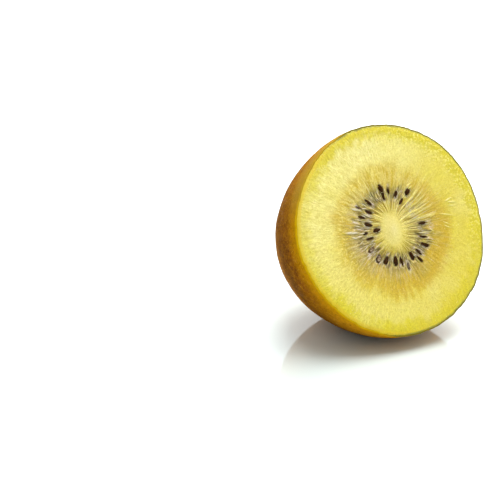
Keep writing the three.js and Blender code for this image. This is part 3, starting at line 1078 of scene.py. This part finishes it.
def fibre_tube(fibre, draw):
    """A thin tapered tube lying along the face, half sunk in it."""
    clock, start, end_clock, end, width = fibre
    share = np.linspace(0, 1, FIBRE_ROWS)
    angle = from_clock(clock + (end_clock - clock) * share)
    distance = start + (end - start) * share
    sway, bends = FIBRE_SWAY
    phase = share * bends + draw.uniform(0, FIBRE_NOISE_SPREAD)
    aside = sway * smooth_noise(np.stack([phase, share * 0, share * 0], -1), 1)
    x = SEED_MIDDLE[0] + distance * np.cos(angle) - aside * np.sin(angle)
    y = SEED_MIDDLE[1] + distance * np.sin(angle) + aside * np.cos(angle)
    height = face_height(ring_through(x, y))
    inside = np.clip(share, FIBRE_TIP, 1 - FIBRE_TIP)
    radius = np.sin(np.pi * inside) ** FIBRE_BLUNTNESS * width / 2
    around = circle(FIBRE_SIDES)
    rows = []
    for i in range(FIBRE_ROWS):
        across = radius[i] * np.cos(around)
        rows.append(np.stack([x[i] - across * math.sin(angle[i]),
                              y[i] + across * math.cos(angle[i]),
                              height[i] + radius[i] * np.sin(around)], -1))
    return np.concatenate([[rows[0].mean(0)], *rows, [rows[-1].mean(0)]])


def build_fibres():
    fibres, draw = fibre_list()
    bodies = [fibre_tube(fibre, draw) for fibre in fibres]
    points, faces = join_bodies(bodies, pole_to_pole(FIBRE_ROWS, FIBRE_SIDES))
    piece = make_object("kiwi_fibres", to_part(points), faces)
    rows = np.repeat(np.linspace(0, 1, FIBRE_ROWS), FIBRE_SIDES)
    store(piece, "share", np.tile(np.concatenate([[0], rows, [1]]), len(fibres)))
    is_stroke = np.arange(len(fibres)) >= len(fibres) - len(STROKES)
    store(piece, "bright", np.repeat(is_stroke, len(bodies[0])))
    x, y = points[:, 0], points[:, 1]
    clock = math.pi / 2 - np.arctan2(y - SEED_MIDDLE[1], x - SEED_MIDDLE[0])
    store(piece, "pale", smoothstep(np.cos(clock - math.radians(FIBRE_PALE_CLOCK)), 0.3, 0.85))
    store(piece, "ring_mm", ring_through(x, y))
    return dress(piece, points, fibre_material())


def fibre_material():
    g = Surface("kiwi fibre")
    share = g.attribute("share")
    ring = g.attribute("ring_mm")
    pale = g.attribute("pale")
    bright = g.attribute("bright")
    whitish = g.times(g.span(g.noise(g.place, 0.5), 0.42, 0.56), g.band(ring, 7.5, 10.8, 0.8))
    g.colour = g.mix(g.larger(whitish, pale), FIBRE_YELLOW, FIBRE_WHITE)
    g.paint(STROKE_YELLOW, bright)

    # The ends, and what lies far out, sink into the colour of the flesh.
    ends = g.larger(g.span(share, 0.4, 0), g.span(share, 0.4, 0.95))
    far = g.span(ring, 9.5, 12.5, 0, g.minus(0.75, g.add(pale, bright)))
    g.paint(g.ramp(ring, RING_COLOURS, 0, CUT_RADIUS), g.larger(ends, far))
    g.set(Base_Color=g.colour, Roughness=0.4, Specular_IOR_Level=0.3)
    g.set(Normal=g.bump(g.noise(g.place, 5), 0.00004, 0.5))
    g.set(Subsurface_Weight=0.3, Subsurface_Radius=(1, 0.7, 0.3), Subsurface_Scale=0.0004)
    g.set(Coat_Weight=0.3, Coat_Roughness=0.08)
    return g.material


# ------ surroundings

LIGHTS = (  # name, place, size, power
    ("overhead", (0.1, -0.03, 0.87), 0.6, 6.25),
    ("back", (0.4, 0.42, 0.65), 0.5, 6.4),
)
LIT_PLACE = (0, 0, 0.02)
SKY = 0.7  # brightness high up
BACKDROP = 1.6  # and low down behind the fruit
FRONT = 0.9  # and low down in front of it
FLAG = 0.4  # what is left of it on the left, where the studio is dark
FLOOR_HALF = 3


def aim(thing, forward):
    thing.rotation_euler = Vector(forward).to_track_quat("-Z", "Y").to_euler()


def add_camera():
    """Puts the middle of the cut face at its pixel, with the camera level from side to side."""
    data = bpy.data.cameras.new("camera")
    focal_pixels = PIXELS_PER_MM / MM * CAMERA_DISTANCE
    data.sensor_width = SENSOR
    data.lens = SENSOR * focal_pixels / PIXELS
    data.clip_end = VIEW_DEPTH
    camera = add_object("camera", data)
    azimuth = math.radians(SIGHT_AZIMUTH)
    elevation = math.radians(SIGHT_ELEVATION)
    back = Vector((math.sin(azimuth) * math.cos(elevation),
                   -math.cos(azimuth) * math.cos(elevation), math.sin(elevation)))
    camera.location = LYING.to_translation() + back * CAMERA_DISTANCE
    across = (FACE_PIXEL[0] - PIXELS / 2) / focal_pixels
    above = (PIXELS / 2 - FACE_PIXEL[1]) / focal_pixels
    forward = -back
    for _ in range(AIM_PASSES):
        right = forward.cross(Vector((0, 0, 1))).normalized()
        up = right.cross(forward).normalized()
        forward = (-back * math.sqrt(1 + across**2 + above**2)
                   - right * across - up * above).normalized()
    aim(camera, forward)
    bpy.context.scene.camera = camera


def add_lights():
    for name, place, size, power in LIGHTS:
        data = bpy.data.lights.new(name, "AREA")
        data.size = size
        data.energy = power
        lamp = add_object(name, data)
        lamp.location = place
        aim(lamp, Vector(LIT_PLACE) - Vector(place))


def add_world():
    """A plain white surrounding, brightest behind the fruit and darkest on its left."""
    world = bpy.data.worlds.new("studio")
    world.use_nodes = True
    bpy.context.scene.world = world
    g = Nodes(world.node_tree)
    x, y, z = g.parts(g.node("TexCoord").outputs["Generated"])
    horizon = g.span(y, -0.3, 0.6, FRONT, BACKDROP)
    level = g.span(z, 0.05, 0.7, horizon, SKY)
    background = g.tree.nodes["Background"]
    g.put(background.inputs["Color"], (1, 1, 1))
    g.put(background.inputs["Strength"], g.times(level, g.span(x, -0.9, -0.2, FLAG, 1)))


def add_floor():
    h = FLOOR_HALF
    corners = [(-h, -h, 0), (h, -h, 0), (h, h, 0), (-h, h, 0)]
    floor = make_object("floor", corners, [(0, 1, 2, 3)])
    g = Surface("floor")
    g.set(Base_Color=srgb(0xF1FEFB), Roughness=0.07, IOR=2.8)
    floor.data.materials.append(g.material)


def set_view():
    view = bpy.context.scene.view_settings
    view.view_transform = "Standard"
    view.look = "None"


add_camera()
add_world()
add_lights()
add_floor()
set_view()
build_skin()
build_flesh()
build_seeds()
build_fibres()
